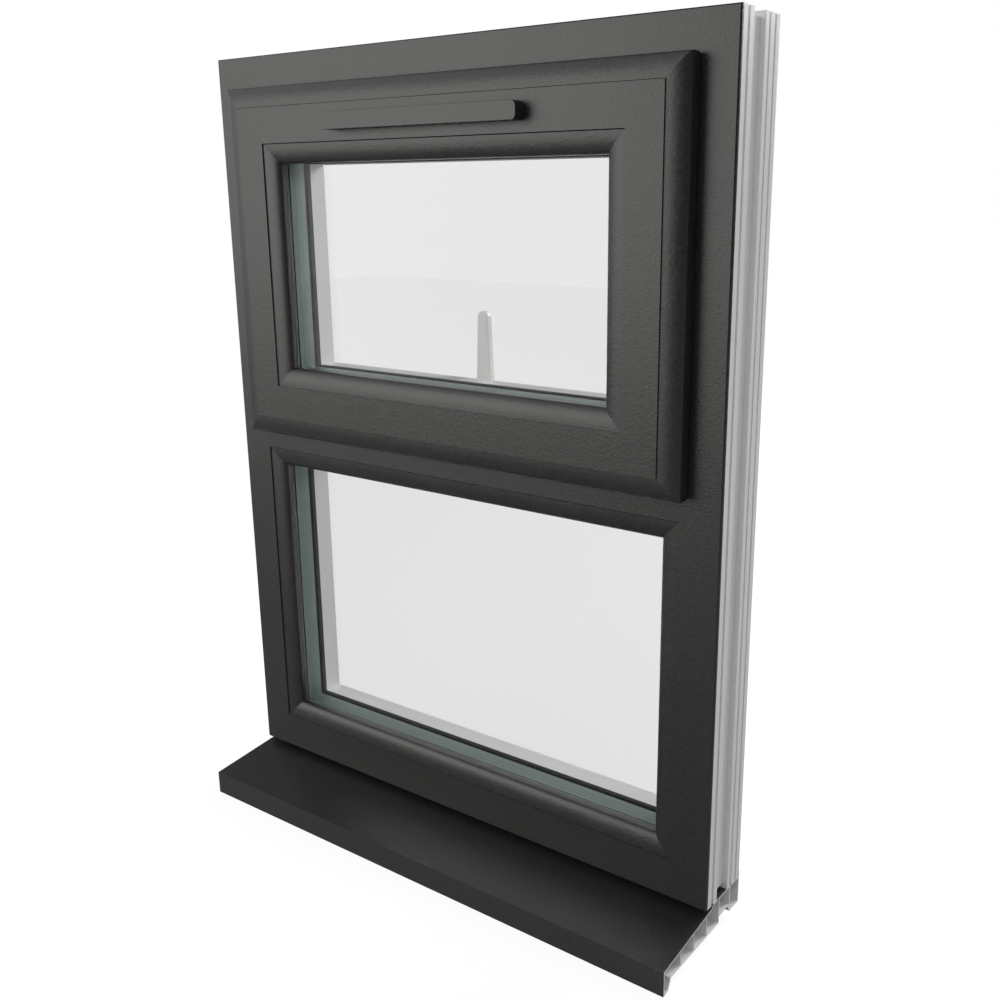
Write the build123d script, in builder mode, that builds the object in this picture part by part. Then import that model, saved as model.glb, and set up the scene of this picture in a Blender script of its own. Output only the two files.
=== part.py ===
from build123d import *
import os

# Top-hung window: an opening sash over a fixed light, on a hollow sill.
# X runs along the window, Y goes into the room, Z is up. The origin is the middle of the
# sill's flat underside, straight below the outer face of the frame. Sizes are millimetres.

# Overall sizes
frame_width = 620.0
frame_height = 800.0  # from the sill's seat to the top of the head
frame_depth = 70.0
sill_rise = 29.0  # from the sill's underside to its seat
transom_rise = 395.0  # from the seat to the middle of the transom

# Frame section: u is measured inwards from the outer edge
frame_land = 41.3  # width of the flat face, up to the rebate
sightline = 61.2  # outer edge to the clear glass
stop_front = 48.5  # face of the stop that glass and sash close on
corner_chamfer = 1.3
wall = 2.6
web = 1.6
chamber_split = 17.0  # depth of the wall behind the front chamber
rear_split = 44.0  # depth of the wall before the rear chamber
outer_grooves = ((11.0, 15.0, 4.0), (50.0, 53.0, 3.0), (60.5, 63.5, 3.0))  # from, to, depth
outer_channel = (22.0, 44.0, 5.0)
transom_land = 15.1  # half the transom's flat face
seam_width = 0.4  # weld seam where the transom meets a jamb
seam_depth = 0.35

# Sash section: v is measured inwards from the sash's outer edge
sash_margin = 33.0  # frame left in view round the sash
gear_space = 16.0  # between the frame's rebate and the sash body
flange_front = -14.1
flange_back = -3.7
panel_front = -22.8
panel_start = 20.1
panel_end = 56.2
sash_depth = 68.0
quirk = 1.3  # small step beside each ovolo
drip_groove = (-8.2, -7.2, 1.2)  # from, to, depth in the flange's outer edge
front_rib_start = 12.0  # where the chamber behind the ovolo starts
bead_width = sightline - frame_land

# Glazing
pane_thickness = 4.0
pane_gap = 20.0
glass_cover = 15.0  # glass hidden behind the beads
bead_gasket = 3.0
ovolo_depth = 7.1
bead_depth = 11.5
bead_foot = 4.0
bead_groove = (4.0, 6.8)  # depths of the groove that holds the bead's foot
glass_clearance = 0.2
spacer_height = 7.0
spacer_hidden = 1.5
gasket_height = 9.0
gasket_chamfer = 0.6
pane_bevel = 0.5
packer_length = 60.0
packer_margin = 1.0  # what a packer stands back from each face of the glass unit

# Weather seals
seal_gap = 0.3
flange_seal = (1.0, 5.0)  # on the back of the flange: inset, width
stop_seal = (0.5, 3.0)  # on the frame's stop, past the sash's edge: inset, width

# Sill
sill_front = -79.0
sill_wall = 1.3
sill_rib = 1.0
nose_drop = 26.4
nose_rise = 13.8  # nose top above the underside
nose_foot = (8.4, 1.7)  # inner corner of the drip: behind the face, above its lower edge
nose_land = 13.5  # behind the nose's face, where the underside starts
first_rib = 5.6  # one pitch less than the first upright rib's place behind the nose's face
rib_count = 3
recess_rise = 7.5  # hollow in the underside, above the bed
recess_slope = 5.0
recess_start = 108.0  # behind the nose's face
foot_width = 19.6
step_run = 3.0  # slope of the step in front of the seat
seat_front = 15.0
seat_step = 4.0
upstand_height = 6.0
upstand_thickness = 1.0
upstand_gap = 0.2
rib_pitch = 25.4

# Opening gear: levels are heights above the frame's rebate
track_middle = 11.0
track_width = 18.0
track_base = 2.0
track_wall = 1.6
track_height = 4.3
track_overhang = (9.7, 20.4)  # past its lower and upper studs
track_screw_inset = 22.0  # from each stud to the nearest screw
short_foot_place = (8.8, 85.4)  # depth, and height below the head
short_head_place = (22.8, 53.3)  # the same
long_foot_place = (12.0, 21.6)  # depth, and height above the transom
long_head_place = (35.9, 93.4)  # depth, and height below the head
short_arm_level = 5.1
long_arm_level = 8.7
arm_thickness = 2.5
arm_radius = 6.5
arm_gap = 0.2
sash_arm_thickness = 3.0
sash_arm_foot = (29.5, 192.0)  # its lower end: depth, and height below the head
arm_screw_pitch = 40.0
arm_screw_side = 3.5  # screws' offset from the arm's lower end, into the room
stud_radius = 2.6
collar_radius = 5.0
rivet_radius = 4.5
rivet_height = 0.6
rivet_head = 1.2
running_clearance = 0.05
open_pivot_clearance = 0.9

# Lock
groove_middle = 20.0  # middle of the hardware groove in the sash
groove_width = 16.2
groove_floor = 3.0
faceplate_thickness = 2.5
faceplate_length = 330.0
rod_width = 8.0
rod_thickness = 3.0
rod_clearance = 0.3
rod_length = 290.0
rod_travel = 18.0
mushroom_places = (-105.0, 105.0)
mushroom_radius = 3.5
mushroom_head = 4.5
mushroom_reach = 8.0  # past the sash body
gearbox_length = 36.0
gearbox_width = 27.0
gearbox_top = 51.0  # from the sash's edge
gearbox_clearance = 0.5
spindle_rise = 45.0  # from the sash's edge
spindle_side = 7.0
keep_length = 44.0
keep_screw_inset = 5.0
keep_width = 16.0
keep_base = 2.0
keep_wall = 2.7
keep_wall_length = 30.0
keep_wall_height = 9.0

# Handle
handle_length = 68.0
handle_width = 28.0
handle_base_height = 11.0
handle_screw_offset = 21.5
handle_reach = 98.0
handle_round = 2.5
lever_start = 7.0  # above the base
lever_thickness = 9.0
lever_tip = 6.5
lever_rounds = (3.0, 1.5)  # on its room face and its hidden face
hub_radius = 11.5
hub_step = 1.0  # the lever's root is this much wider than the hub behind it

# Screws, all countersunk
screw_radius = 1.8
screw_head = 3.4
screw_length = 9.0
pilot_depth = 7.5
screw_slot = (0.9, 0.8)  # width, depth

# Ventilator
vent_length = 238.0
vent_height = 16.5
vent_corner = 5.0
vent_wall = 1.6
canopy_round = 0.4
canopy_depth = 13.0
vent_drop = 38.3  # sash edge to the middle of the ventilator
air_slot_length = 88.0
air_slot_offset = 55.0
air_slot_height = 7.0
cover_length = 262.0
cover_height = 20.0
cover_drop = 2.5  # below the middle of the hood, to clear the frame's stop
cover_depth = 12.0
cover_cavity = 239.0
cover_round = 2.0
cover_screw_offset = 124.0
slot_count = 12
slot_width = 7.0
slot_height = 12.0
slot_pitch = 17.0
shutter_thickness = 2.0
shutter_travel = slot_pitch / 2
knob_place = 104.0
knob_width = 4.0
knob_height = 3.0  # past the grille

# Places that follow from the sizes above
seat = sill_rise
head_top = seat + frame_height
half_width = frame_width / 2
sill_back = frame_depth + upstand_gap + upstand_thickness
sill_slope = (seat - seat_step - nose_rise) / (seat_front - step_run - sill_front)
transom_middle = seat + transom_rise
transom_top = transom_middle + transom_land
body_start = frame_land + gear_space  # sash body's edge, in the frame's own measure
flange_lap = body_start - sash_margin  # how far the flange reaches past the sash body
sash_back = panel_front + sash_depth
sash_stop = panel_end + bead_width
chamber_start = outer_channel[2] + wall
rod_floor = flange_lap + groove_floor + rod_thickness + 2 * rod_clearance
glass_front = quirk + bead_depth + bead_gasket
unit_thickness = 2 * pane_thickness + pane_gap
keep_places = tuple(x + rod_travel for x in mushroom_places)
cover_front = sash_back + cover_depth
spindle_bore = spindle_side * 0.72  # clears the square bar's corners

# Stay pivots as (y, z): two arms on each side carry the sash
short_foot = (short_foot_place[0], head_top - short_foot_place[1])
short_head = (short_head_place[0], head_top - short_head_place[1])
long_foot = (long_foot_place[0], transom_top + long_foot_place[1])
long_head = (long_head_place[0], head_top - long_head_place[1])
track_low = long_foot[1] - track_overhang[0]
track_high = short_foot[1] + track_overhang[1]


class Ring:
    """A rectangle of mitred bars, given by its outer edges."""

    def __init__(self, width, low, high):
        self.width = width
        self.low = low
        self.high = high
        middle = (low + high) / 2
        self.planes = {
            "top": Plane(origin=(0, 0, high), x_dir=(0, 0, -1), z_dir=(1, 0, 0)),
            "bottom": Plane(origin=(0, 0, low), x_dir=(0, 0, 1), z_dir=(-1, 0, 0)),
            "left": Plane(origin=(-width / 2, 0, middle), x_dir=(1, 0, 0), z_dir=(0, 0, 1)),
            "right": Plane(origin=(width / 2, 0, middle), x_dir=(-1, 0, 0), z_dir=(0, 0, -1)),
        }

    def length(self, side):
        return self.width if side in ("top", "bottom") else self.high - self.low

    def inner(self, inset):
        return Ring(self.width - 2 * inset, self.low + inset, self.high - inset)

    def mitre(self, side, end):
        plane = self.planes[side]
        corner = plane.origin + plane.z_dir * (end * self.length(side) / 2)
        return Plane(origin=corner, z_dir=plane.z_dir * end + plane.x_dir)


frame_ring = Ring(frame_width, seat, head_top)
upper_light = Ring(frame_width, transom_middle + transom_land - frame_land, head_top)
lower_light = Ring(frame_width, seat, transom_middle - transom_land + frame_land)
sash_ring = upper_light.inner(sash_margin)


def save(part, label):
    part.label = label
    export_step(part, f"parts/{label}.step")


def face_plane(y):
    """Plane across the window at depth y: (x, z), with a negative extrude going inwards."""
    return Plane(origin=(0, y, 0), x_dir=(1, 0, 0), z_dir=(0, -1, 0))


def block(u_low, u_high, y_low, y_high, mode=Mode.ADD):
    """Rectangle of a section, from its limits."""
    with Locations(((u_low + u_high) / 2, (y_low + y_high) / 2)):
        Rectangle(u_high - u_low, y_high - y_low, mode=mode)


def mitred_bar(ring, side, section):
    """One bar of a ring: its section run along the side and cut at 45 degrees."""
    with BuildPart() as bar:
        with BuildSketch(ring.planes[side]):
            section()
        extrude(amount=ring.length(side) / 2, both=True)
        split(bisect_by=ring.mitre(side, 1), keep=Keep.BOTTOM)
        split(bisect_by=ring.mitre(side, -1), keep=Keep.BOTTOM)
    return bar.part


def side_plane(sign, u):
    """Plane along one side of the window, u in from its outer edge: sketches use (y, z)."""
    return Plane(origin=(sign * (half_width - u), 0, 0), x_dir=(0, 1, 0), z_dir=(1, 0, 0))


def disc(sign, centre, radius, u_low, u_high):
    """A round boss, stud or head at a stay pivot, between two levels."""
    with BuildPart() as piece:
        with BuildSketch(side_plane(sign, u_low)):
            with Locations(centre):
                Circle(radius)
        extrude(amount=-sign * (u_high - u_low))
    return piece.part


def ring_solid(ring, inset, height, y_low, y_high, edge=0.0):
    """A one-piece rectangular ring between two depths, with an optional eased inner edge."""
    outer = ring.inner(inset)
    hole = ring.inner(inset + height)
    with BuildPart() as piece:
        with BuildSketch(face_plane(y_low)):
            with Locations((0, (outer.low + outer.high) / 2)):
                Rectangle(outer.width, outer.high - outer.low)
                Rectangle(hole.width, hole.high - hole.low, mode=Mode.SUBTRACT)
        extrude(amount=-(y_high - y_low))
        if edge:
            front = piece.faces().sort_by(Axis.Y)[0]
            chamfer(front.inner_wires().edges(), edge)
    return piece.part


# Frame
def outer_edge_cuts():
    """Grooves of the outer edge, where fixing straps clip on, and the chamfered front corner."""
    for low, high, depth in outer_grooves + (outer_channel,):
        block(0, depth, low, high, Mode.SUBTRACT)
    with BuildLine() as outline:
        Polyline((0, 0), (corner_chamfer, 0), (0, corner_chamfer), close=True)
    make_face(outline.edges(), mode=Mode.SUBTRACT)


def frame_section():
    block(0, frame_land, 0, frame_depth)
    block(frame_land, sightline, stop_front, frame_depth)
    outer_edge_cuts()
    block(frame_land - bead_foot - glass_clearance, frame_land, *bead_groove, Mode.SUBTRACT)
    front_top = frame_land - bead_foot - wall
    floor_top = frame_land - wall
    middle = (chamber_start + floor_top) / 2
    block(chamber_start, front_top, wall, chamber_split, Mode.SUBTRACT)
    block(chamber_start, middle - web / 2, chamber_split + web, rear_split, Mode.SUBTRACT)
    block(middle + web / 2, floor_top, chamber_split + web, rear_split, Mode.SUBTRACT)
    block(chamber_start, floor_top - web, rear_split + web, frame_depth - wall, Mode.SUBTRACT)
    block(floor_top, sightline - wall, stop_front + wall, frame_depth - wall, Mode.SUBTRACT)


def transom_section():
    reach = sightline - frame_land + transom_land
    block(-transom_land, transom_land, 0, frame_depth)
    block(-reach, reach, stop_front, frame_depth)
    for side in (1, -1):
        edge = side * transom_land
        foot = side * (transom_land - bead_foot - glass_clearance)
        block(min(edge, foot), max(edge, foot), *bead_groove, Mode.SUBTRACT)
        near = side * (transom_land - wall + web)
        far = side * (reach - wall)
        low, high = min(near, far), max(near, far)
        block(low, high, stop_front + wall, frame_depth - wall, Mode.SUBTRACT)
    front_half = transom_land - bead_foot - wall
    body_half = transom_land - wall
    block(-front_half, front_half, wall, chamber_split, Mode.SUBTRACT)
    block(-body_half, -web / 2, chamber_split + web, rear_split, Mode.SUBTRACT)
    block(web / 2, body_half, chamber_split + web, rear_split, Mode.SUBTRACT)
    block(-body_half, body_half, rear_split + web, frame_depth - wall, Mode.SUBTRACT)


def track_screw_points():
    """Places (y, z) of the screws along each stay track."""
    low = long_foot[1] + track_screw_inset
    high = short_foot[1] - track_screw_inset
    return [(track_middle, low + (high - low) * share) for share in (0.0, 0.5, 1.0)]


def keep_screw_points():
    """Places (x, y) of the screws of both keeps."""
    offset = keep_length / 2 - keep_screw_inset
    return [(x + end * offset, groove_middle) for x in keep_places for end in (1, -1)]


def keep_screw_plane(x, y):
    return Plane(origin=(x, y, transom_top + keep_base), x_dir=(1, 0, 0), z_dir=(0, 0, 1))


def jamb(side):
    """A jamb, with its weld seam at the transom and its pilot holes for the stay track."""
    sign = -1 if side == "left" else 1
    with BuildPart() as piece:
        add(mitred_bar(frame_ring, side, frame_section))
        with BuildSketch(face_plane(0)):
            with Locations((sign * (half_width - frame_land / 2), transom_middle)):
                Rectangle(frame_land - 2 * corner_chamfer, seam_width)
        extrude(amount=-seam_depth, mode=Mode.SUBTRACT)
        with BuildSketch(side_plane(sign, frame_land)):
            with Locations(*track_screw_points()):
                Circle(screw_radius + running_clearance)
        extrude(amount=sign * pilot_depth, mode=Mode.SUBTRACT)
    return piece.part


def transom():
    """The transom: scribed between the jambs, past their stops."""
    plane = Plane(origin=(0, 0, transom_middle), x_dir=(0, 0, 1), z_dir=(-1, 0, 0))
    reach = sightline - frame_land + transom_land
    with BuildPart() as piece:
        with BuildSketch(plane):
            transom_section()
        extrude(amount=half_width - frame_land, both=True)
        for sign in (-1, 1):
            with BuildSketch(face_plane(stop_front)):
                with Locations((sign * (half_width - (frame_land + sightline) / 2), transom_middle)):
                    Rectangle(bead_width, 2 * reach)
            extrude(amount=-(frame_depth - stop_front), mode=Mode.SUBTRACT)
        with BuildSketch(Plane.XY.offset(transom_top)):
            with Locations(*keep_screw_points()):
                Circle(screw_radius + running_clearance)
        extrude(amount=-pilot_depth, mode=Mode.SUBTRACT)
    return piece.part


# Glazing
def bead_section(edge, face):
    """Ovolo bead: edge is its outer limit in the section, face the depth of the flat beside it."""
    top = face + quirk
    back = top + bead_depth
    sight = edge + bead_width
    with BuildLine() as outline:
        EllipticalCenterArc((edge, top + ovolo_depth), bead_width, ovolo_depth, -90,
                            arc_size=90)
        Polyline((sight, top + ovolo_depth), (sight, back), (edge, back), (edge, top))
    make_face(outline.edges())
    foot_low = face + bead_groove[0] + glass_clearance
    foot_high = face + bead_groove[1] - glass_clearance
    block(edge - bead_foot, edge + web, foot_low, foot_high)
    block(edge + wall, sight - wall - web, top + ovolo_depth - wall, back - web, Mode.SUBTRACT)


def glazing(name, ring, edge, face):
    """Everything in one light: beads, two panes, spacer, sealant, gaskets and packers."""
    for side in ("top", "bottom", "left", "right"):
        bead = mitred_bar(ring, side, lambda: bead_section(edge, face))
        save(bead, f"{name}_bead_{side}")
    sight = edge + bead_width
    glass_edge = sight - glass_cover
    front = face + glass_front
    back = front + unit_thickness
    pane = ring.inner(glass_edge)
    for label, y in (("outer_pane", front), ("inner_pane", back - pane_thickness)):
        with BuildPart() as glass:
            with BuildSketch(face_plane(y)):
                with Locations((0, (pane.low + pane.high) / 2)):
                    Rectangle(pane.width, pane.high - pane.low)
            extrude(amount=-pane_thickness)
            chamfer(glass.edges().filter_by(Axis.Y, reverse=True), pane_bevel)
        save(glass.part, f"{name}_{label}")
    gap_front = front + pane_thickness
    gap_back = back - pane_thickness
    spacer_inset = sight - spacer_hidden - spacer_height
    spacer = ring_solid(ring, spacer_inset, spacer_height, gap_front, gap_back)
    save(spacer, f"{name}_spacer")
    sealant = ring_solid(ring, glass_edge, spacer_inset - glass_edge, gap_front, gap_back)
    save(sealant, f"{name}_edge_sealant")
    inset = sight - gasket_height
    outer = ring_solid(ring, inset, gasket_height, front - bead_gasket, front, gasket_chamfer)
    save(outer, f"{name}_outer_gasket")
    inner = ring_solid(ring, inset, gasket_height, back, face + stop_front, gasket_chamfer)
    save(inner, f"{name}_inner_gasket")
    save(packers(ring, edge, glass_edge, front, back), f"{name}_glazing_packers")


def packers(ring, edge, glass_edge, front, back):
    """Plastic packers that hold the glass square in its rebate, two on each side."""
    with BuildPart() as pads:
        for side in ("top", "bottom", "left", "right"):
            spread = ring.length(side) / 2 - glass_edge - packer_length
            for end in (-1, 1):
                start = end * spread - packer_length / 2
                with BuildSketch(ring.planes[side].offset(start)):
                    block(edge, glass_edge, front + packer_margin, back - packer_margin)
                extrude(amount=packer_length)
    return pads.part


# Sash
def sash_section():
    ovolo_top = panel_front + quirk
    with BuildLine() as outline:
        EllipticalCenterArc((panel_start, flange_front), panel_start, flange_front - ovolo_top,
                            180, arc_size=90)
        Polyline((panel_start, ovolo_top), (panel_start, panel_front), (panel_end, panel_front),
                 (panel_end, panel_front + stop_front), (sash_stop, panel_front + stop_front),
                 (sash_stop, sash_back), (flange_lap, sash_back), (flange_lap, flange_back),
                 (0, flange_back), (0, flange_front))
    make_face(outline.edges())
    block(0, drip_groove[2], drip_groove[0], drip_groove[1], Mode.SUBTRACT)
    groove_low = groove_middle - groove_width / 2
    groove_high = groove_middle + groove_width / 2
    rod_half = rod_width / 2 + 2 * rod_clearance
    block(flange_lap, flange_lap + groove_floor, groove_low, groove_high, Mode.SUBTRACT)
    block(flange_lap, rod_floor, groove_middle - rod_half, groove_middle + rod_half,
          Mode.SUBTRACT)
    foot_floor = panel_end - bead_foot - glass_clearance
    foot_low = panel_front + bead_groove[0]
    block(foot_floor, panel_end, foot_low, panel_front + bead_groove[1], Mode.SUBTRACT)
    inner = panel_end - wall
    body_floor = rod_floor + wall
    lip_end = flange_lap + wall
    middle = panel_front + stop_front
    block(front_rib_start, body_floor, panel_front + wall + quirk, flange_back - wall,
          Mode.SUBTRACT)
    block(body_floor + web, foot_floor - wall, panel_front + wall, flange_back - wall,
          Mode.SUBTRACT)
    block(lip_end, rod_floor, flange_back + wall, groove_low - wall, Mode.SUBTRACT)
    block(lip_end, rod_floor, groove_high + wall, sash_back - wall, Mode.SUBTRACT)
    block(body_floor, inner, flange_back - wall + web, middle - web, Mode.SUBTRACT)
    block(body_floor, inner, middle, sash_back - wall, Mode.SUBTRACT)
    block(inner + web, sash_stop - wall, middle + wall, sash_back - wall, Mode.SUBTRACT)


def arm_screw_points():
    """Places (y, z) of the screws of each sash arm."""
    foot = head_top - sash_arm_foot[1]
    return [(sash_arm_foot[0] + arm_screw_side, foot + count * arm_screw_pitch)
            for count in range(3)]


def sash_bar(side):
    """A bar of the sash. The top one is routed for air, the bottom one for the lock."""
    hole_radius = screw_radius + running_clearance
    vent_middle = sash_ring.high - vent_drop
    spindle_height = sash_ring.low + spindle_rise
    with BuildPart() as piece:
        add(mitred_bar(sash_ring, side, sash_section))
        if side == "top":
            with BuildSketch(face_plane(panel_front)):
                with Locations((-air_slot_offset, vent_middle), (air_slot_offset, vent_middle)):
                    SlotOverall(air_slot_length, air_slot_height)
            extrude(amount=-sash_depth, mode=Mode.SUBTRACT)
            with BuildSketch(face_plane(sash_back)):
                with Locations((-cover_screw_offset, vent_middle - cover_drop),
                               (cover_screw_offset, vent_middle - cover_drop)):
                    Circle(hole_radius)
            extrude(amount=wall, mode=Mode.SUBTRACT)
        if side == "bottom":
            with BuildSketch(Plane.XY.offset(sash_ring.low + flange_lap)):
                with Locations((0, groove_middle)):
                    Rectangle(gearbox_length + 2 * gearbox_clearance,
                              gearbox_width + 2 * gearbox_clearance)
            extrude(amount=gearbox_top + gearbox_clearance - flange_lap, mode=Mode.SUBTRACT)
            with BuildSketch(face_plane(sash_back)):
                with Locations((0, spindle_height)):
                    Circle(spindle_side)
                with Locations((-handle_screw_offset, spindle_height),
                               (handle_screw_offset, spindle_height)):
                    Circle(hole_radius)
            extrude(amount=wall, mode=Mode.SUBTRACT)
        if side in ("left", "right"):
            sign = -1 if side == "left" else 1
            with BuildSketch(side_plane(sign, body_start)):
                with Locations(*arm_screw_points()):
                    Circle(hole_radius)
            extrude(amount=-sign * screw_length, mode=Mode.SUBTRACT)
    return piece.part


# Sill
def sill_top(y):
    """Height of the sill's sloping top at depth y, above the underside."""
    return nose_rise + sill_slope * (y - sill_front)


def sill_section():
    """Hollow sill, end on: (y, z), with its nose to the left."""
    nose_bottom = nose_rise - nose_drop
    nose_top = (sill_front, nose_rise)
    land_start = (sill_front + nose_land, 0)
    drip = (sill_front + nose_foot[0], nose_bottom + nose_foot[1])
    nose_tip = (sill_front, nose_bottom)
    recess_front = sill_front + recess_start
    foot_front = sill_back - foot_width
    with BuildLine() as outline:
        Polyline(nose_top, (seat_front - step_run, seat - seat_step), (seat_front, seat),
                 (sill_back - upstand_thickness, seat),
                 (sill_back - upstand_thickness, seat + upstand_height),
                 (sill_back, seat + upstand_height), (sill_back, 0), (foot_front, 0),
                 (foot_front - recess_slope, recess_rise), (recess_front, recess_rise),
                 (recess_front, 0), land_start, drip, nose_tip, close=True)
    make_face(outline.edges())
    # The nose has a chamber of its own, under a slanted rib from its top corner
    with BuildLine() as nose:
        Polyline(nose_top, land_start, drip, nose_tip, close=True)
    offset(make_face(nose.edges(), mode=Mode.PRIVATE), amount=-sill_wall,
           kind=Kind.INTERSECTION, mode=Mode.SUBTRACT)
    slant = nose_rise / nose_land
    near_top = sill_front + sill_wall / (slant + sill_slope)
    near_foot = sill_front + (nose_rise - sill_wall) / slant
    half_rib = sill_rib / 2
    for count in range(1, rib_count + 1):
        rib = sill_front + first_rib + rib_pitch * count
        far = rib - half_rib
        with BuildLine() as outline:
            Polyline((near_top, sill_top(near_top) - sill_wall), (far, sill_top(far) - sill_wall),
                     (far, sill_wall), (near_foot, sill_wall), close=True)
        make_face(outline.edges(), mode=Mode.SUBTRACT)
        near_top = near_foot = rib + half_rib
    # The chambers under the seat follow the step and the hollow of the underside
    far = recess_front - sill_wall
    corner = seat_front - 2 * sill_wall
    with BuildLine() as outline:
        Polyline((near_top, sill_top(near_top) - sill_wall), (corner, sill_top(corner) - sill_wall),
                 (corner + step_run, seat - sill_wall), (far, seat - sill_wall), (far, sill_wall),
                 (near_top, sill_wall), close=True)
    make_face(outline.edges(), mode=Mode.SUBTRACT)
    block(recess_front, foot_front - sill_rib, recess_rise + sill_wall, seat - sill_wall,
          Mode.SUBTRACT)
    block(foot_front + half_rib, sill_back - sill_wall, sill_wall, seat - sill_wall, Mode.SUBTRACT)


def sill():
    plane = Plane(origin=(-half_width, 0, 0), x_dir=(0, 1, 0), z_dir=(1, 0, 0))
    with BuildPart() as piece:
        with BuildSketch(plane):
            sill_section()
        extrude(amount=frame_width)
    return piece.part


# Screws
def screws(label, planes, length=screw_length):
    """Countersunk screws: each plane lies on a screw's head and looks out of the work."""
    head_depth = screw_head - screw_radius
    top = (Align.CENTER, Align.CENTER, Align.MAX)
    with BuildPart() as group:
        for plane in planes:
            with Locations(plane):
                Cylinder(screw_radius, length, align=top)
                Cone(screw_radius, screw_head, head_depth, align=top)
                Box(2 * screw_radius, *screw_slot, align=top, mode=Mode.SUBTRACT)
    save(group.part, label)


def screw_hole(plane, depth=screw_length):
    """Countersunk hole through a plate, for a screw set on the same plane."""
    with Locations(plane):
        CounterSinkHole(screw_radius + running_clearance, screw_head + running_clearance,
                        depth, 90)


# Stays
def stay_track(sign):
    """Channel on the jamb, with the two studs its arms turn on."""
    middle = (track_low + track_high) / 2
    length = track_high - track_low
    flange = (track_width - track_wall) / 2
    short_top = frame_land + short_arm_level
    long_top = frame_land + long_arm_level
    with BuildPart() as piece:
        with BuildSketch(side_plane(sign, frame_land)):
            with Locations((track_middle, middle)):
                Rectangle(track_width, length)
        extrude(amount=-sign * track_base)
        with BuildSketch(side_plane(sign, frame_land)):
            with Locations((track_middle - flange, middle), (track_middle + flange, middle)):
                Rectangle(track_wall, length)
        extrude(amount=-sign * track_height)
        for pivot, level in ((short_foot, short_top), (long_foot, long_top)):
            head_start = level + arm_thickness + arm_gap
            add(disc(sign, pivot, collar_radius, frame_land, level - arm_gap))
            add(disc(sign, pivot, stud_radius, frame_land, head_start))
            add(disc(sign, pivot, rivet_radius, head_start, head_start + rivet_height))
        for y, z in track_screw_points():
            screw_hole(track_screw_plane(sign, y, z))
    return piece.part


def track_screw_plane(sign, y, z):
    return Plane(origin=(sign * (half_width - frame_land - track_base), y, z),
                 x_dir=(0, 1, 0), z_dir=(-sign, 0, 0))


def stay_arm(sign, foot, head, level, head_clearance):
    """Flat arm with rounded ends and a hole for each stud."""
    u_low = frame_land + level
    u_high = u_low + arm_thickness
    with BuildPart() as piece:
        with BuildSketch(side_plane(sign, u_low)):
            with Locations(foot, head):
                Circle(arm_radius)
            make_hull()
            with Locations(foot):
                Circle(stud_radius + running_clearance, mode=Mode.SUBTRACT)
            with Locations(head):
                Circle(stud_radius + head_clearance, mode=Mode.SUBTRACT)
        extrude(amount=-sign * arm_thickness)
    return piece.part


def arm_screw_plane(sign, y, z):
    return Plane(origin=(sign * (half_width - body_start + sash_arm_thickness), y, z),
                 x_dir=(0, 1, 0), z_dir=(sign, 0, 0))


def sash_arm(sign):
    """Plate on the sash stile, with the two studs the arms carry."""
    u_low = body_start - sash_arm_thickness
    foot = (sash_arm_foot[0], head_top - sash_arm_foot[1])
    short_low = frame_land + short_arm_level
    long_low = frame_land + long_arm_level
    with BuildPart() as piece:
        with BuildSketch(side_plane(sign, u_low)):
            with Locations(foot):
                Circle(arm_radius + 2.0)
            with Locations(short_head):
                Circle(arm_radius + 0.5)
            with Locations(long_head):
                Circle(arm_radius - 0.5)
            make_hull()
        extrude(amount=-sign * sash_arm_thickness)
        add(disc(sign, short_head, collar_radius, short_low + arm_thickness + arm_gap, u_low))
        add(disc(sign, short_head, stud_radius, short_low - arm_gap, u_low))
        rivet_top = short_low - arm_gap
        add(disc(sign, short_head, rivet_radius, rivet_top - rivet_head, rivet_top))
        add(disc(sign, long_head, collar_radius, long_low + arm_thickness + arm_gap, u_low))
        add(disc(sign, long_head, stud_radius, long_low - arm_gap, u_low))
        for y, z in arm_screw_points():
            screw_hole(arm_screw_plane(sign, y, z))
    return piece.part


# Lock
def keep(place):
    """Keep on the transom: a base, and a wall that the mushroom slides in behind."""
    wall_middle = groove_middle - mushroom_head - arm_gap - keep_wall / 2
    with BuildPart() as piece:
        with BuildSketch(Plane.XY.offset(transom_top)):
            with Locations((place, groove_middle)):
                Rectangle(keep_length, keep_width)
        extrude(amount=keep_base)
        with BuildSketch(Plane.XY.offset(transom_top)):
            with Locations((place + rod_travel / 4, wall_middle)):
                Rectangle(keep_wall_length, keep_wall)
        extrude(amount=keep_base + keep_wall_height)
        for x, y in keep_screw_points():
            if abs(x - place) < keep_length:
                screw_hole(keep_screw_plane(x, y))
    return piece.part


def lock_faceplate():
    """Long plate in the sash's groove, slotted for the mushrooms."""
    low = sash_ring.low + flange_lap + running_clearance
    with BuildPart() as piece:
        with BuildSketch(Plane.XY.offset(low)):
            with Locations((0, groove_middle)):
                SlotOverall(faceplate_length, groove_width - 0.2)
            for place in mushroom_places:
                with Locations((place + rod_travel / 2, groove_middle)):
                    SlotOverall(rod_travel + 2 * mushroom_radius + 1.0, 2 * mushroom_radius + 0.6,
                                mode=Mode.SUBTRACT)
        extrude(amount=faceplate_thickness)
    return piece.part


def lock_rod():
    """Flat rod with its mushrooms, which stand out through the faceplate."""
    low = sash_ring.low + flange_lap + groove_floor + rod_clearance
    tip = sash_ring.low + flange_lap - mushroom_reach
    with BuildPart() as piece:
        with BuildSketch(Plane.XY.offset(low)):
            with Locations((0, groove_middle)):
                Rectangle(rod_length, rod_width)
        extrude(amount=rod_thickness)
        with BuildSketch(Plane.XY.offset(tip)):
            with Locations(*((place, groove_middle) for place in mushroom_places)):
                Circle(mushroom_radius)
        extrude(amount=low - tip)
        with BuildSketch(Plane.XY.offset(tip)):
            with Locations(*((place, groove_middle) for place in mushroom_places)):
                Circle(mushroom_head)
        extrude(amount=faceplate_thickness)
    return piece.part


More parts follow.
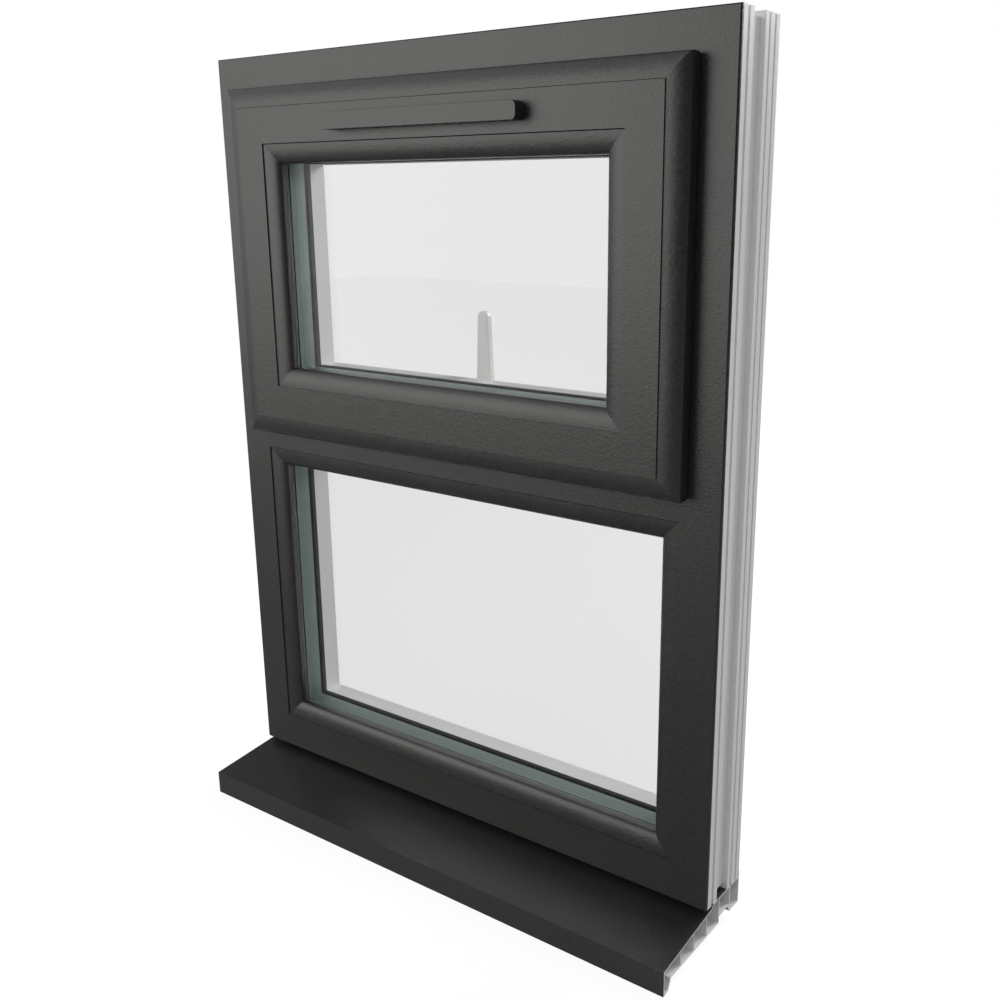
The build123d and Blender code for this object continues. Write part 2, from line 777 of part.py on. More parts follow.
def lock_gearbox():
    """Box in the sash's pocket, open for the rod below and bored for the spindle."""
    low = sash_ring.low + flange_lap + groove_floor
    rod_top = sash_ring.low + rod_floor
    with BuildPart() as piece:
        with BuildSketch(Plane.XY.offset(low)):
            with Locations((0, groove_middle)):
                Rectangle(gearbox_length, gearbox_width)
        extrude(amount=sash_ring.low + gearbox_top - low)
        with BuildSketch(Plane.XY.offset(low)):
            with Locations((0, groove_middle)):
                Rectangle(gearbox_length, rod_width + 4 * rod_clearance)
        extrude(amount=rod_top - low, mode=Mode.SUBTRACT)
        with BuildSketch(face_plane(groove_middle + gearbox_width / 2)):
            with Locations((0, sash_ring.low + spindle_rise)):
                Circle(spindle_bore)
        extrude(amount=gearbox_width - wall, mode=Mode.SUBTRACT)
    return piece.part


# Handle
def handle_base():
    middle = sash_ring.low + spindle_rise
    with BuildPart() as piece:
        with BuildSketch(face_plane(sash_back)):
            with Locations((0, middle)):
                SlotOverall(handle_length, handle_width)
        extrude(amount=-handle_base_height)
        fillet(piece.faces().sort_by(Axis.Y)[-1].edges(), handle_round)
        with BuildSketch(face_plane(sash_back)):
            with Locations((0, middle)):
                Circle(spindle_bore)
        extrude(amount=-handle_base_height, mode=Mode.SUBTRACT)
        for plane in handle_screw_planes():
            screw_hole(plane, handle_base_height + 1.0)
    return piece.part


def handle_screw_planes():
    middle = sash_ring.low + spindle_rise
    front = sash_back + handle_base_height
    return [Plane(origin=(x, front, middle), x_dir=(1, 0, 0), z_dir=(0, 1, 0))
            for x in (-handle_screw_offset, handle_screw_offset)]


def handle_lever():
    """Lever with its hub. It stands up when the window is unlocked."""
    middle = sash_ring.low + spindle_rise
    hub_start = sash_back + handle_base_height + arm_gap
    lever_front = sash_back + handle_base_height + lever_start
    with BuildPart() as piece:
        with BuildSketch(face_plane(lever_front)):
            with Locations((0, middle)):
                Circle(hub_radius - hub_step)
            with Locations((0, middle + handle_reach - lever_tip)):
                Circle(lever_tip)
            make_hull()
        extrude(amount=-lever_thickness)
        fillet(piece.faces().sort_by(Axis.Y)[-1].edges(), lever_rounds[0])
        fillet(piece.faces().sort_by(Axis.Y)[0].edges(), lever_rounds[1])
        with BuildSketch(face_plane(hub_start)):
            with Locations((0, middle)):
                Circle(hub_radius - 2 * hub_step)
        extrude(amount=-(lever_front - hub_start) - wall)
        with BuildSketch(face_plane(hub_start)):
            with Locations((0, middle)):
                Rectangle(spindle_side + 2 * running_clearance, spindle_side + 2 * running_clearance)
        extrude(amount=-(lever_front - hub_start) - wall, mode=Mode.SUBTRACT)
    return piece.part


def handle_spindle():
    """Square bar from the lever into the gearbox."""
    start = groove_middle - gearbox_width / 2 + wall + 2.0
    end = sash_back + handle_base_height + lever_start + wall - 0.5
    with BuildPart() as piece:
        with BuildSketch(face_plane(start)):
            with Locations((0, sash_ring.low + spindle_rise)):
                Rectangle(spindle_side, spindle_side)
        extrude(amount=-(end - start))
    return piece.part


# Ventilator
def vent_canopy():
    """Hood outside: open at the back for the air slots, and slotted underneath."""
    middle = sash_ring.high - vent_drop
    with BuildPart() as piece:
        with BuildSketch(face_plane(panel_front)):
            with Locations((0, middle)):
                RectangleRounded(vent_length, vent_height, vent_corner)
        extrude(amount=canopy_depth)
        fillet(piece.faces().sort_by(Axis.Y)[0].edges(), canopy_round)
        with BuildSketch(face_plane(panel_front)):
            with Locations((0, middle)):
                RectangleRounded(vent_length - 2 * vent_wall, vent_height - 2 * vent_wall,
                                 vent_corner - vent_wall)
        extrude(amount=canopy_depth - vent_wall, mode=Mode.SUBTRACT)
        with BuildSketch(Plane.XY.offset(middle - vent_height / 2)):
            with Locations((0, panel_front - canopy_depth / 2)):
                with GridLocations(slot_pitch, 0, slot_count, 1):
                    Rectangle(slot_pitch - 2 * vent_wall, canopy_depth - 4 * vent_wall)
        extrude(amount=vent_wall, mode=Mode.SUBTRACT)
    return piece.part


def vent_screw_planes():
    middle = sash_ring.high - vent_drop - cover_drop
    return [Plane(origin=(x, cover_front, middle), x_dir=(1, 0, 0), z_dir=(0, 1, 0))
            for x in (-cover_screw_offset, cover_screw_offset)]


def vent_cover():
    """Grille inside: a shell over the shutter."""
    middle = sash_ring.high - vent_drop - cover_drop
    knob_slot = knob_width + shutter_travel + 2 * rod_clearance
    with BuildPart() as piece:
        with BuildSketch(face_plane(sash_back)):
            with Locations((0, middle)):
                RectangleRounded(cover_length, cover_height, vent_corner)
        extrude(amount=-cover_depth)
        fillet(piece.faces().sort_by(Axis.Y)[-1].edges(), cover_round)
        with BuildSketch(face_plane(sash_back)):
            with Locations((0, middle)):
                Rectangle(cover_cavity, cover_height - 2 * vent_wall)
        extrude(amount=-(cover_depth - vent_wall), mode=Mode.SUBTRACT)
        with BuildSketch(face_plane(cover_front)):
            with Locations((0, middle)):
                with GridLocations(slot_pitch, 0, slot_count, 1):
                    SlotOverall(slot_height, slot_width, rotation=90)
            with Locations((knob_place + shutter_travel / 2, middle)):
                Rectangle(knob_slot, knob_width + 2 * rod_clearance)
        extrude(amount=vent_wall, mode=Mode.SUBTRACT)
        for plane in vent_screw_planes():
            screw_hole(plane, cover_depth + 1.0)
    return piece.part


def vent_shutter():
    """Slotted slide behind the grille: half a pitch shuts every slot."""
    middle = sash_ring.high - vent_drop - cover_drop
    back = cover_front - vent_wall - arm_gap
    length = 2 * (knob_place + 1.5 * knob_width)
    height = cover_height - 2 * vent_wall - 2 * arm_gap
    with BuildPart() as piece:
        with BuildSketch(face_plane(back)):
            with Locations((0, middle)):
                Rectangle(length, height)
            with Locations((0, middle)):
                with GridLocations(slot_pitch, 0, slot_count, 1):
                    SlotOverall(slot_height, slot_width, rotation=90, mode=Mode.SUBTRACT)
        extrude(amount=shutter_thickness)
        with BuildSketch(face_plane(back)):
            with Locations((knob_place, middle)):
                Rectangle(knob_width, knob_width)
        extrude(amount=-(vent_wall + arm_gap + knob_height))
    return piece.part


os.makedirs("parts", exist_ok=True)

save(mitred_bar(frame_ring, "top", frame_section), "frame_head")
save(mitred_bar(frame_ring, "bottom", frame_section), "frame_bottom_rail")
save(jamb("left"), "frame_left_jamb")
save(jamb("right"), "frame_right_jamb")
save(transom(), "transom")
save(sill(), "sill")
glazing("fixed", lower_light, frame_land, 0)

save(sash_bar("top"), "sash_top_rail")
save(sash_bar("bottom"), "sash_bottom_rail")
save(sash_bar("left"), "sash_left_stile")
save(sash_bar("right"), "sash_right_stile")
glazing("sash", sash_ring, panel_end, panel_front)

frame_seal = ring_solid(upper_light, body_start + stop_seal[0], stop_seal[1],
                        sash_back + seal_gap, stop_front)
save(frame_seal, "frame_weather_seal")
save(ring_solid(sash_ring, *flange_seal, flange_back, -seal_gap), "sash_weather_seal")

for side, sign in (("left", -1), ("right", 1)):
    save(stay_track(sign), f"{side}_stay_track")
    save(stay_arm(sign, short_foot, short_head, short_arm_level, running_clearance),
         f"{side}_short_arm")
    save(stay_arm(sign, long_foot, long_head, long_arm_level, open_pivot_clearance),
         f"{side}_long_arm")
    save(sash_arm(sign), f"{side}_sash_arm")
    save(keep(keep_places[0 if side == "left" else 1]), f"{side}_keep")

save(lock_faceplate(), "lock_faceplate")
save(lock_rod(), "lock_rod")
save(lock_gearbox(), "lock_gearbox")
save(handle_base(), "handle_base")
save(handle_lever(), "handle_lever")
save(handle_spindle(), "handle_spindle")
save(vent_canopy(), "vent_canopy")
save(vent_cover(), "vent_cover")
save(vent_shutter(), "vent_shutter")

screws("track_screws", [track_screw_plane(sign, y, z)
                        for sign in (-1, 1) for y, z in track_screw_points()])
screws("keep_screws", [keep_screw_plane(x, y) for x, y in keep_screw_points()])
screws("arm_screws", [arm_screw_plane(sign, y, z)
                      for sign in (-1, 1) for y, z in arm_screw_points()])
screws("handle_screws", handle_screw_planes(), handle_base_height + screw_length)
screws("vent_screws", vent_screw_planes(), cover_depth + screw_length)
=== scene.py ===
import bpy
from mathutils import Matrix, Vector


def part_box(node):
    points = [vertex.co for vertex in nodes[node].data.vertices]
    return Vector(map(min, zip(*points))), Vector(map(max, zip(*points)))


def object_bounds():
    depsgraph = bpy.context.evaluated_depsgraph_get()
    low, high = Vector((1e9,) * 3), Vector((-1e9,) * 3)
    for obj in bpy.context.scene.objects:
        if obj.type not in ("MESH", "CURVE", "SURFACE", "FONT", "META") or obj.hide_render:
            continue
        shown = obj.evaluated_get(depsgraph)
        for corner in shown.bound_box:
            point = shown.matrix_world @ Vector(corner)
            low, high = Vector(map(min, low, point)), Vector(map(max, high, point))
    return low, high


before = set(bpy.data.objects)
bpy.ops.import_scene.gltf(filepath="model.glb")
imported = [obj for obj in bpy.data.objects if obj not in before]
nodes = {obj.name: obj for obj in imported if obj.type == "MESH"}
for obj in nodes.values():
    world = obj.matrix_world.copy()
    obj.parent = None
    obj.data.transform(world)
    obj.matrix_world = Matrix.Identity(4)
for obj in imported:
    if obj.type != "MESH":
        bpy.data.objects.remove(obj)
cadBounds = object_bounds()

mm = 0.001
lights = ("fixed", "sash")  # the fixed light below and the opening light above
sides = ("top", "bottom", "left", "right")


# Shader helpers

def addNode(tree, kind, **settings):
    node = tree.nodes.new(kind)
    for key, value in settings.items():
        setattr(node, key, value)
    return node


def feed(tree, socket, value):
    if isinstance(value, bpy.types.NodeSocket):
        tree.links.new(value, socket)
    else:
        socket.default_value = value


def mathNode(tree, operation, first, second=0.0, third=0.0):
    node = addNode(tree, "ShaderNodeMath", operation=operation)
    for socket, value in zip(node.inputs, (first, second, third)):
        feed(tree, socket, value)
    return node.outputs[0]


def mixColour(tree, factor, first, second):
    node = addNode(tree, "ShaderNodeMix", data_type="RGBA")
    feed(tree, node.inputs[0], factor)
    feed(tree, node.inputs[6], first)
    feed(tree, node.inputs[7], second)
    return node.outputs[2]


def mixValue(tree, factor, first, second):
    node = addNode(tree, "ShaderNodeMix", data_type="FLOAT")
    feed(tree, node.inputs[0], factor)
    feed(tree, node.inputs[2], first)
    feed(tree, node.inputs[3], second)
    return node.outputs[0]


def noiseNode(tree, vector, scale, detail=3.0, rough=0.6):
    node = addNode(tree, "ShaderNodeTexNoise")
    feed(tree, node.inputs["Vector"], vector)
    feed(tree, node.inputs["Scale"], scale)
    feed(tree, node.inputs["Detail"], detail)
    feed(tree, node.inputs["Roughness"], rough)
    return node.outputs["Fac"]


def rampNode(tree, value, low, high):
    node = addNode(tree, "ShaderNodeMapRange", clamp=True)
    feed(tree, node.inputs["Value"], value)
    feed(tree, node.inputs["From Min"], low)
    feed(tree, node.inputs["From Max"], high)
    return node.outputs["Result"]


def bumpNode(tree, height, strength, distance):
    node = addNode(tree, "ShaderNodeBump")
    feed(tree, node.inputs["Strength"], strength)
    feed(tree, node.inputs["Distance"], distance)
    feed(tree, node.inputs["Height"], height)
    return node.outputs["Normal"]


def objectPosition(tree):
    return addNode(tree, "ShaderNodeTexCoord").outputs["Object"]


def objectAxes(tree):
    split = addNode(tree, "ShaderNodeSeparateXYZ")
    feed(tree, split.inputs[0], objectPosition(tree))
    return split.outputs


def newGroup(name, labels):
    group = bpy.data.node_groups.new(name, "ShaderNodeTree")
    for label in labels:
        group.interface.new_socket(name=label, in_out="OUTPUT", socket_type="NodeSocketFloat")
    return group, group.nodes.new("NodeGroupOutput")


def useGroup(tree, group):
    return addNode(tree, "ShaderNodeGroup", node_tree=group).outputs


def newMaterial(name):
    material = bpy.data.materials.new(name)
    material.use_nodes = True
    tree = material.node_tree
    return material, tree, tree.nodes["Principled BSDF"].inputs


def scaled(colour, share):
    return tuple(channel * share for channel in colour[:3]) + (1.0,)


# Grain of the dark foil: tone, gloss and height from the same noises

foilGrain = {"speckle": 560.0, "mottle": 240.0, "cloud": 9.0, "noiseEnds": (0.3, 0.7),
             "mottleShare": 0.45, "cloudInTone": 0.25, "cloudInGloss": 0.5}


def buildFoilGrain(look=foilGrain):
    group, leave = newGroup("foilGrain", ["Tone", "Gloss", "Height"])
    position = objectPosition(group)
    speckle = noiseNode(group, position, look["speckle"], detail=2.0)
    mottle = noiseNode(group, position, look["mottle"])
    cloud = noiseNode(group, position, look["cloud"], detail=2.0, rough=0.5)
    fine = rampNode(group, speckle, *look["noiseEnds"])
    broad = rampNode(group, mottle, *look["noiseEnds"])
    both = mixValue(group, look["mottleShare"], fine, broad)
    feed(group, leave.inputs["Tone"], mixValue(group, look["cloudInTone"], both, cloud))
    feed(group, leave.inputs["Gloss"], mixValue(group, look["cloudInGloss"], both, cloud))
    feed(group, leave.inputs["Height"], both)
    return group


grainGroup = buildFoilGrain()


# Where the foil lies: 1 on foil, 0 on the bare white plastic

frameFoil = {
    "outerReturn": 3.5 * mm,  # how far the foil turns round the frame's outline
    "rebateReturn": 14.0 * mm,  # how far it goes into the two openings
    "rebateInset": 20.0 * mm,  # the openings lie this far or more inside the outline
}


def buildFrameMask(look=frameFoil):
    group, leave = newGroup("frameFoilMask", ["Mask"])
    axes = objectAxes(group)
    low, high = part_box("frame_left_jamb")
    inset = look["rebateInset"]
    returnEdge = mathNode(group, "LESS_THAN", axes[1], look["outerReturn"])
    rebateFront = mathNode(group, "LESS_THAN", axes[1], look["rebateReturn"])
    offCentre = mathNode(group, "ABSOLUTE", axes[0])
    between = mathNode(group, "LESS_THAN", offCentre, -low[0] - inset)
    above = mathNode(group, "GREATER_THAN", axes[2], low[2] + inset)
    below = mathNode(group, "LESS_THAN", axes[2], high[2] - inset)
    inside = mathNode(group, "MULTIPLY", mathNode(group, "MULTIPLY", between, above), below)
    rebate = mathNode(group, "MULTIPLY", inside, rebateFront)
    feed(group, leave.inputs["Mask"], mathNode(group, "MAXIMUM", returnEdge, rebate))
    return group


sashFoil = {"back": -3.6 * mm}  # where it ends behind the sash's flange


def buildSashMask(look=sashFoil):
    group, leave = newGroup("sashFoilMask", ["Mask"])
    front = mathNode(group, "LESS_THAN", objectAxes(group)[1], look["back"])
    feed(group, leave.inputs["Mask"], front)
    return group


sillFoil = {
    "rise": 11.2 * mm,  # slope of the sill's top, over its run
    "run": 91.0 * mm,
    "noseHeight": 13.8 * mm,  # height of the sill's top at its outer edge
    "skin": 1.0 * mm,  # thickness below the top that still counts as foil
    "noseSkin": 0.4 * mm,  # and behind the nose's face
}
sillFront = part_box("sill")[0][1]
noseFace = sillFront + sillFoil["noseSkin"]


def buildSillMask(look=sillFoil):
    group, leave = newGroup("sillFoilMask", ["Mask"])
    axes = objectAxes(group)
    geometry = addNode(group, "ShaderNodeNewGeometry")
    facing = addNode(group, "ShaderNodeSeparateXYZ")
    feed(group, facing.inputs[0], geometry.outputs["True Normal"])
    sideways = mathNode(group, "ABSOLUTE", facing.outputs[0])
    notAnEnd = mathNode(group, "LESS_THAN", sideways, 0.5)
    slope = look["rise"] / look["run"]
    start = look["noseHeight"] - look["skin"] - slope * sillFront
    underTop = mathNode(group, "MULTIPLY_ADD", axes[1], slope, start)
    top = mathNode(group, "GREATER_THAN", axes[2], underTop)
    nose = mathNode(group, "LESS_THAN", axes[1], noseFace)
    outer = mathNode(group, "MAXIMUM", top, nose)
    feed(group, leave.inputs["Mask"], mathNode(group, "MULTIPLY", outer, notAnEnd))
    return group


# Painted shade: dark lines that run level above the top beads and above the sash's raised panel,
# where the step above them casts shade. Each has a low edge, a high edge, and how far it reaches
# to each side of the middle.

# Colour and width of the painted shade lines
paintedShadeLook = {"colour": (0.004, 0.004, 0.004, 1.0), "width": 0.9 * mm}
beadFoot = 4.0 * mm  # the hidden foot of each bead, clipped into its bar
panelStart = 20.1 * mm  # from the sash's outline to its raised panel

beadShadeLines = []
for light in lights:
    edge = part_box(f"{light}_bead_top")[1][2] - beadFoot
    beadShadeLines.append((edge - paintedShadeLook["width"], edge, 1.0))
low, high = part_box("sash_top_rail")
edge = high[2] - panelStart
panelShadeLines = [(edge - paintedShadeLook["width"] / 2, edge, high[0] - panelStart)]


# Mask that is 1 on the painted shade lines
def buildShadeLineMask(name, shadeLines):
    group, leave = newGroup(name, ["Mask"])
    axes = objectAxes(group)
    offCentre = mathNode(group, "ABSOLUTE", axes[0])
    found = 0.0
    for low, high, reach in shadeLines:
        above = mathNode(group, "GREATER_THAN", axes[2], low)
        below = mathNode(group, "LESS_THAN", axes[2], high)
        near = mathNode(group, "LESS_THAN", offCentre, reach)
        here = mathNode(group, "MULTIPLY", mathNode(group, "MULTIPLY", above, below), near)
        found = mathNode(group, "MAXIMUM", here, found)
    feed(group, leave.inputs["Mask"], found)
    return group


# The plastic bars: foil outside, bare white plastic inside

profileLook = {
    "foilDark": (0.001, 0.001, 0.001, 1.0),
    "foilLight": (0.040, 0.039, 0.037, 1.0),
    "foilRough": (0.31, 0.43),
    "white": (0.80, 0.80, 0.79, 1.0),
    "whiteRough": (0.30, 0.42),
    "haze": 14.0,
    "hazeTone": 0.94,
    "specular": 0.85,
    "bump": 0.5,
    "grainDepth": 0.3 * mm,
}
sillLook = dict(profileLook, foilDark=(0.0065, 0.0078, 0.0075, 1.0),
                foilLight=(0.014, 0.016, 0.0155, 1.0))
sillNose = {"foilDark": (0.012, 0.0135, 0.013, 1.0), "foilLight": (0.05, 0.053, 0.052, 1.0)}


def buildProfile(name, maskGroup=None, shadeLineGroup=None, look=profileLook, nose=None):
    material, tree, shader = newMaterial(name)
    grain = useGroup(tree, grainGroup)
    position = objectPosition(tree)
    colour = mixColour(tree, grain["Tone"], look["foilDark"], look["foilLight"])
    rough = mixValue(tree, grain["Gloss"], *look["foilRough"])
    height = grain["Height"]
    mask = 1.0
    if nose is not None:
        onNose = mathNode(tree, "LESS_THAN", objectAxes(tree)[1], noseFace)
        lighter = mixColour(tree, grain["Tone"], nose["foilDark"], nose["foilLight"])
        colour = mixColour(tree, onNose, colour, lighter)
    if maskGroup is not None:
        mask = useGroup(tree, maskGroup)["Mask"]
        haze = noiseNode(tree, position, look["haze"], rough=0.5)
        white = mixColour(tree, haze, look["white"], scaled(look["white"], look["hazeTone"]))
        whiteRough = mixValue(tree, haze, *look["whiteRough"])
        colour = mixColour(tree, mask, white, colour)
        rough = mixValue(tree, mask, whiteRough, rough)
        height = mathNode(tree, "MULTIPLY", height, mask)
    # Painted shade: the shade lines are made near black and metallic, only where the foil is
    if shadeLineGroup is not None:
        paintedShade = mathNode(tree, "MULTIPLY", useGroup(tree, shadeLineGroup)["Mask"], mask)
        colour = mixColour(tree, paintedShade, colour, paintedShadeLook["colour"])
        feed(tree, shader["Metallic"], paintedShade)
    feed(tree, shader["Base Color"], colour)
    feed(tree, shader["Roughness"], rough)
    feed(tree, shader["Normal"], bumpNode(tree, height, look["bump"], look["grainDepth"]))
    shader["Specular IOR Level"].default_value = look["specular"]
    return material


frameProfile = buildProfile("frameProfile", buildFrameMask())
# The sash and the beads get painted shade lines above the raised panel and above the top beads
sashProfile = buildProfile("sashProfile", buildSashMask(),
                           buildShadeLineMask("panelShadeLines", panelShadeLines))
sillProfile = buildProfile("sillProfile", buildSillMask(), look=sillLook, nose=sillNose)
beadProfile = buildProfile("beadProfile", shadeLineGroup=buildShadeLineMask("beadShadeLines", beadShadeLines))
canopyPlastic = buildProfile("canopyPlastic")
print("profile materials made")


# Glass, greener at its edge. It bends light less than real glass does, so that the panes mirror
# less of the big lamp.

glassLook = {"clear": (0.935, 0.941, 0.939, 1.0), "edge": (0.55, 0.72, 0.64, 1.0),
             "rim": 1.2 * mm, "ior": 1.2}


def buildGlass(name, node, look=glassLook):
    low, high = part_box(node)
    material, tree, shader = newMaterial(name)
    axes = objectAxes(tree)
    rims = []
    for axis in (0, 2):
        middle = (low[axis] + high[axis]) / 2
        half = (high[axis] - low[axis]) / 2
        offset = mathNode(tree, "ABSOLUTE", mathNode(tree, "SUBTRACT", axes[axis], middle))
        rims.append(rampNode(tree, offset, half - look["rim"], half))
    rim = mathNode(tree, "MAXIMUM", *rims)
    feed(tree, shader["Base Color"], mixColour(tree, rim, look["clear"], look["edge"]))
    shader["Roughness"].default_value = 0.0
    shader["IOR"].default_value = look["ior"]
    shader["Transmission Weight"].default_value = 1.0
    return material


# The spacer bar between the panes, with two rows of fine breather holes

spacerLook = {"metal": (0.145, 0.19, 0.17, 1.0), "hole": (0.02, 0.026, 0.023, 1.0),
              "pitch": 4.0 * mm, "row": 3.2 * mm, "radius": 0.45 * mm, "metallic": 0.2,
              "brush": 350.0, "brushTone": 1.15, "rough": (0.38, 0.55), "bump": 0.15,
              "depth": 0.1 * mm}


def buildSpacer(name, node, look=spacerLook):
    low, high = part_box(node)
    material, tree, shader = newMaterial(name)
    position = objectPosition(tree)
    axes = objectAxes(tree)
    run = mathNode(tree, "ADD", axes[0], axes[2])
    along = mathNode(tree, "PINGPONG", run, look["pitch"] / 2)
    offMiddle = mathNode(tree, "SUBTRACT", axes[1], (low[1] + high[1]) / 2)
    fromRow = mathNode(tree, "SUBTRACT", mathNode(tree, "ABSOLUTE", offMiddle), look["row"])
    square = mathNode(tree, "ADD", mathNode(tree, "MULTIPLY", along, along),
                      mathNode(tree, "MULTIPLY", fromRow, fromRow))
    hole = mathNode(tree, "LESS_THAN", mathNode(tree, "SQRT", square), look["radius"])
    brushed = noiseNode(tree, position, look["brush"], detail=2.0)
    metal = mixColour(tree, brushed, look["metal"], scaled(look["metal"], look["brushTone"]))
    feed(tree, shader["Base Color"], mixColour(tree, hole, metal, look["hole"]))
    feed(tree, shader["Roughness"], mixValue(tree, brushed, *look["rough"]))
    feed(tree, shader["Normal"], bumpNode(tree, brushed, look["bump"], look["depth"]))
    shader["Metallic"].default_value = look["metallic"]
    return material


# Rubber, painted and moulded pieces. Each has a grain, which also roughens it, and patches where
# its colour is scaled.

rubberLook = {"grain": 700.0, "patches": 30.0, "patchTone": 1.8, "roughEnds": (-0.08, 0.1),
              "bump": 0.2}
plasticLook = {"grain": 400.0, "patches": 20.0, "patchTone": 0.92, "roughEnds": (-0.06, 0.06),
               "bump": 0.12}
moulded = {
    "gasketRubber": dict(rubberLook, colour=(0.012, 0.012, 0.012, 1.0), rough=0.5),
    "glazingRubber": dict(rubberLook, colour=(0.10, 0.105, 0.103, 1.0), rough=0.5),
    "sealantRubber": dict(rubberLook, colour=(0.02, 0.02, 0.02, 1.0), rough=0.7),
    "packerPlastic": dict(plasticLook, colour=(0.05, 0.14, 0.35, 1.0), rough=0.45, grain=300.0),
    "whitePlastic": dict(plasticLook, colour=(0.80, 0.80, 0.79, 1.0), rough=0.4),
    "handlePaint": dict(plasticLook, colour=(0.88, 0.88, 0.87, 1.0), rough=0.3, grain=250.0),
}
mouldedDepth = 0.1 * mm


def buildMoulded(name):
    look = moulded[name]
    material, tree, shader = newMaterial(name)
    position = objectPosition(tree)
    grain = noiseNode(tree, position, look["grain"])
    patches = noiseNode(tree, position, look["patches"], detail=2.0, rough=0.5)
    other = scaled(look["colour"], look["patchTone"])
    smooth, coarse = (look["rough"] + end for end in look["roughEnds"])
    feed(tree, shader["Base Color"], mixColour(tree, patches, look["colour"], other))
    feed(tree, shader["Roughness"], mixValue(tree, grain, smooth, coarse))
    feed(tree, shader["Normal"], bumpNode(tree, grain, look["bump"], mouldedDepth))
    return material


# Steel of the stays, the lock and the screws, brushed upwards

steelLook = {"colour": (0.55, 0.55, 0.53, 1.0), "warm": (1.08, 1.04, 0.94),
             "rough": (0.27, 0.47), "brush": 1600.0, "stretch": (1.0, 1.0, 0.04),
             "patches": 60.0, "bump": 0.15, "depth": 0.05 * mm}


def buildSteel(name, look=steelLook):
    material, tree, shader = newMaterial(name)
    position = objectPosition(tree)
    stretch = addNode(tree, "ShaderNodeMapping")
    stretch.inputs["Scale"].default_value = look["stretch"]
    feed(tree, stretch.inputs["Vector"], position)
    brushed = noiseNode(tree, stretch.outputs["Vector"], look["brush"])
    patches = noiseNode(tree, position, look["patches"])
    warm = tuple(c * w for c, w in zip(look["colour"], look["warm"])) + (1.0,)
    feed(tree, shader["Base Color"], mixColour(tree, patches, look["colour"], warm))
    feed(tree, shader["Roughness"], mixValue(tree, brushed, *look["rough"]))
    feed(tree, shader["Normal"], bumpNode(tree, brushed, look["bump"], look["depth"]))
    shader["Metallic"].default_value = 1.0
    return material


mouldedMaterials = {name: buildMoulded(name) for name in moulded}
zincSteel = buildSteel("zincSteel")
print("other materials made")


# Which piece has which material

def paint(material, *pieces):
    for node in pieces:
        mesh = nodes[node].data
        mesh.materials.clear()
        mesh.materials.append(material)


paint(frameProfile, "frame_head", "frame_left_jamb", "frame_right_jamb", "frame_bottom_rail",
      "transom")
paint(sashProfile, "sash_top_rail", "sash_bottom_rail", "sash_left_stile", "sash_right_stile")
paint(sillProfile, "sill")
paint(canopyPlastic, "vent_canopy")
for light in lights:
    paint(beadProfile, *(f"{light}_bead_{side}" for side in sides))
    for layer in ("outer", "inner"):
        paint(buildGlass(f"{light}{layer.title()}Pane", f"{light}_{layer}_pane"),
              f"{light}_{layer}_pane")
    paint(buildSpacer(f"{light}Spacer", f"{light}_spacer"), f"{light}_spacer")
    paint(mouldedMaterials["sealantRubber"], f"{light}_edge_sealant")
    paint(mouldedMaterials["glazingRubber"], f"{light}_outer_gasket")
    paint(mouldedMaterials["gasketRubber"], f"{light}_inner_gasket")
    paint(mouldedMaterials["packerPlastic"], f"{light}_glazing_packers")
paint(mouldedMaterials["gasketRubber"], "frame_weather_seal", "sash_weather_seal")
paint(mouldedMaterials["whitePlastic"], "vent_cover", "vent_shutter")
paint(mouldedMaterials["handlePaint"], "handle_base", "handle_lever")
for hand in ("left", "right"):
    paint(zincSteel, f"{hand}_stay_track", f"{hand}_short_arm", f"{hand}_long_arm",
          f"{hand}_sash_arm", f"{hand}_keep")
paint(zincSteel, "lock_faceplate", "lock_rod", "lock_gearbox", "handle_spindle", "track_screws",
      "keep_screws", "arm_screws", "handle_screws", "vent_screws")
print("nodes painted")


# The floor is nearly white to the eye and through glass, and keeps the window's shadow

floorLook = {"size": 14.0, "drop": 0.2 * mm, "colour": (0.16, 0.16, 0.16, 1.0), "rough": 0.9,
             "glow": {"Camera": 0.9, "Transmission": 0.72, "Glossy": 0.1}}


def buildFloor(look=floorLook):
    bpy.ops.object.select_all(action="DESELECT")
    bpy.ops.mesh.primitive_plane_add(size=look["size"],
                                     location=(0, 0, cadBounds[0][2] - look["drop"]))
    floor = bpy.context.object
    floor.name = "floor"
    material, tree, shader = newMaterial("floorPaint")
    shader["Base Color"].default_value = look["colour"]
    shader["Roughness"].default_value = look["rough"]
    shader["Specular IOR Level"].default_value = 0.0
    shader["Emission Color"].default_value = (1.0, 1.0, 1.0, 1.0)
    path = addNode(tree, "ShaderNodeLightPath")
    glow = 0.0
    for ray, strength in look["glow"].items():
        share = mathNode(tree, "MULTIPLY", path.outputs[f"Is {ray} Ray"], strength)
        glow = mathNode(tree, "MAXIMUM", share, glow)
    feed(tree, shader["Emission Strength"], glow)
    floor.data.materials.append(material)


buildFloor()

# The backdrop is white to the eye and through glass. In reflections it is white on the left
# and in front, and falls off to the right and behind.

worldLook = {"ambient": 0.64, "background": 1.0, "throughGlass": 0.85, "dimGlossy": 0.04,
             "brightGlossy": 0.75, "brightSide": (-0.85, -0.48, 0.2), "falloff": (0.4, 0.85)}


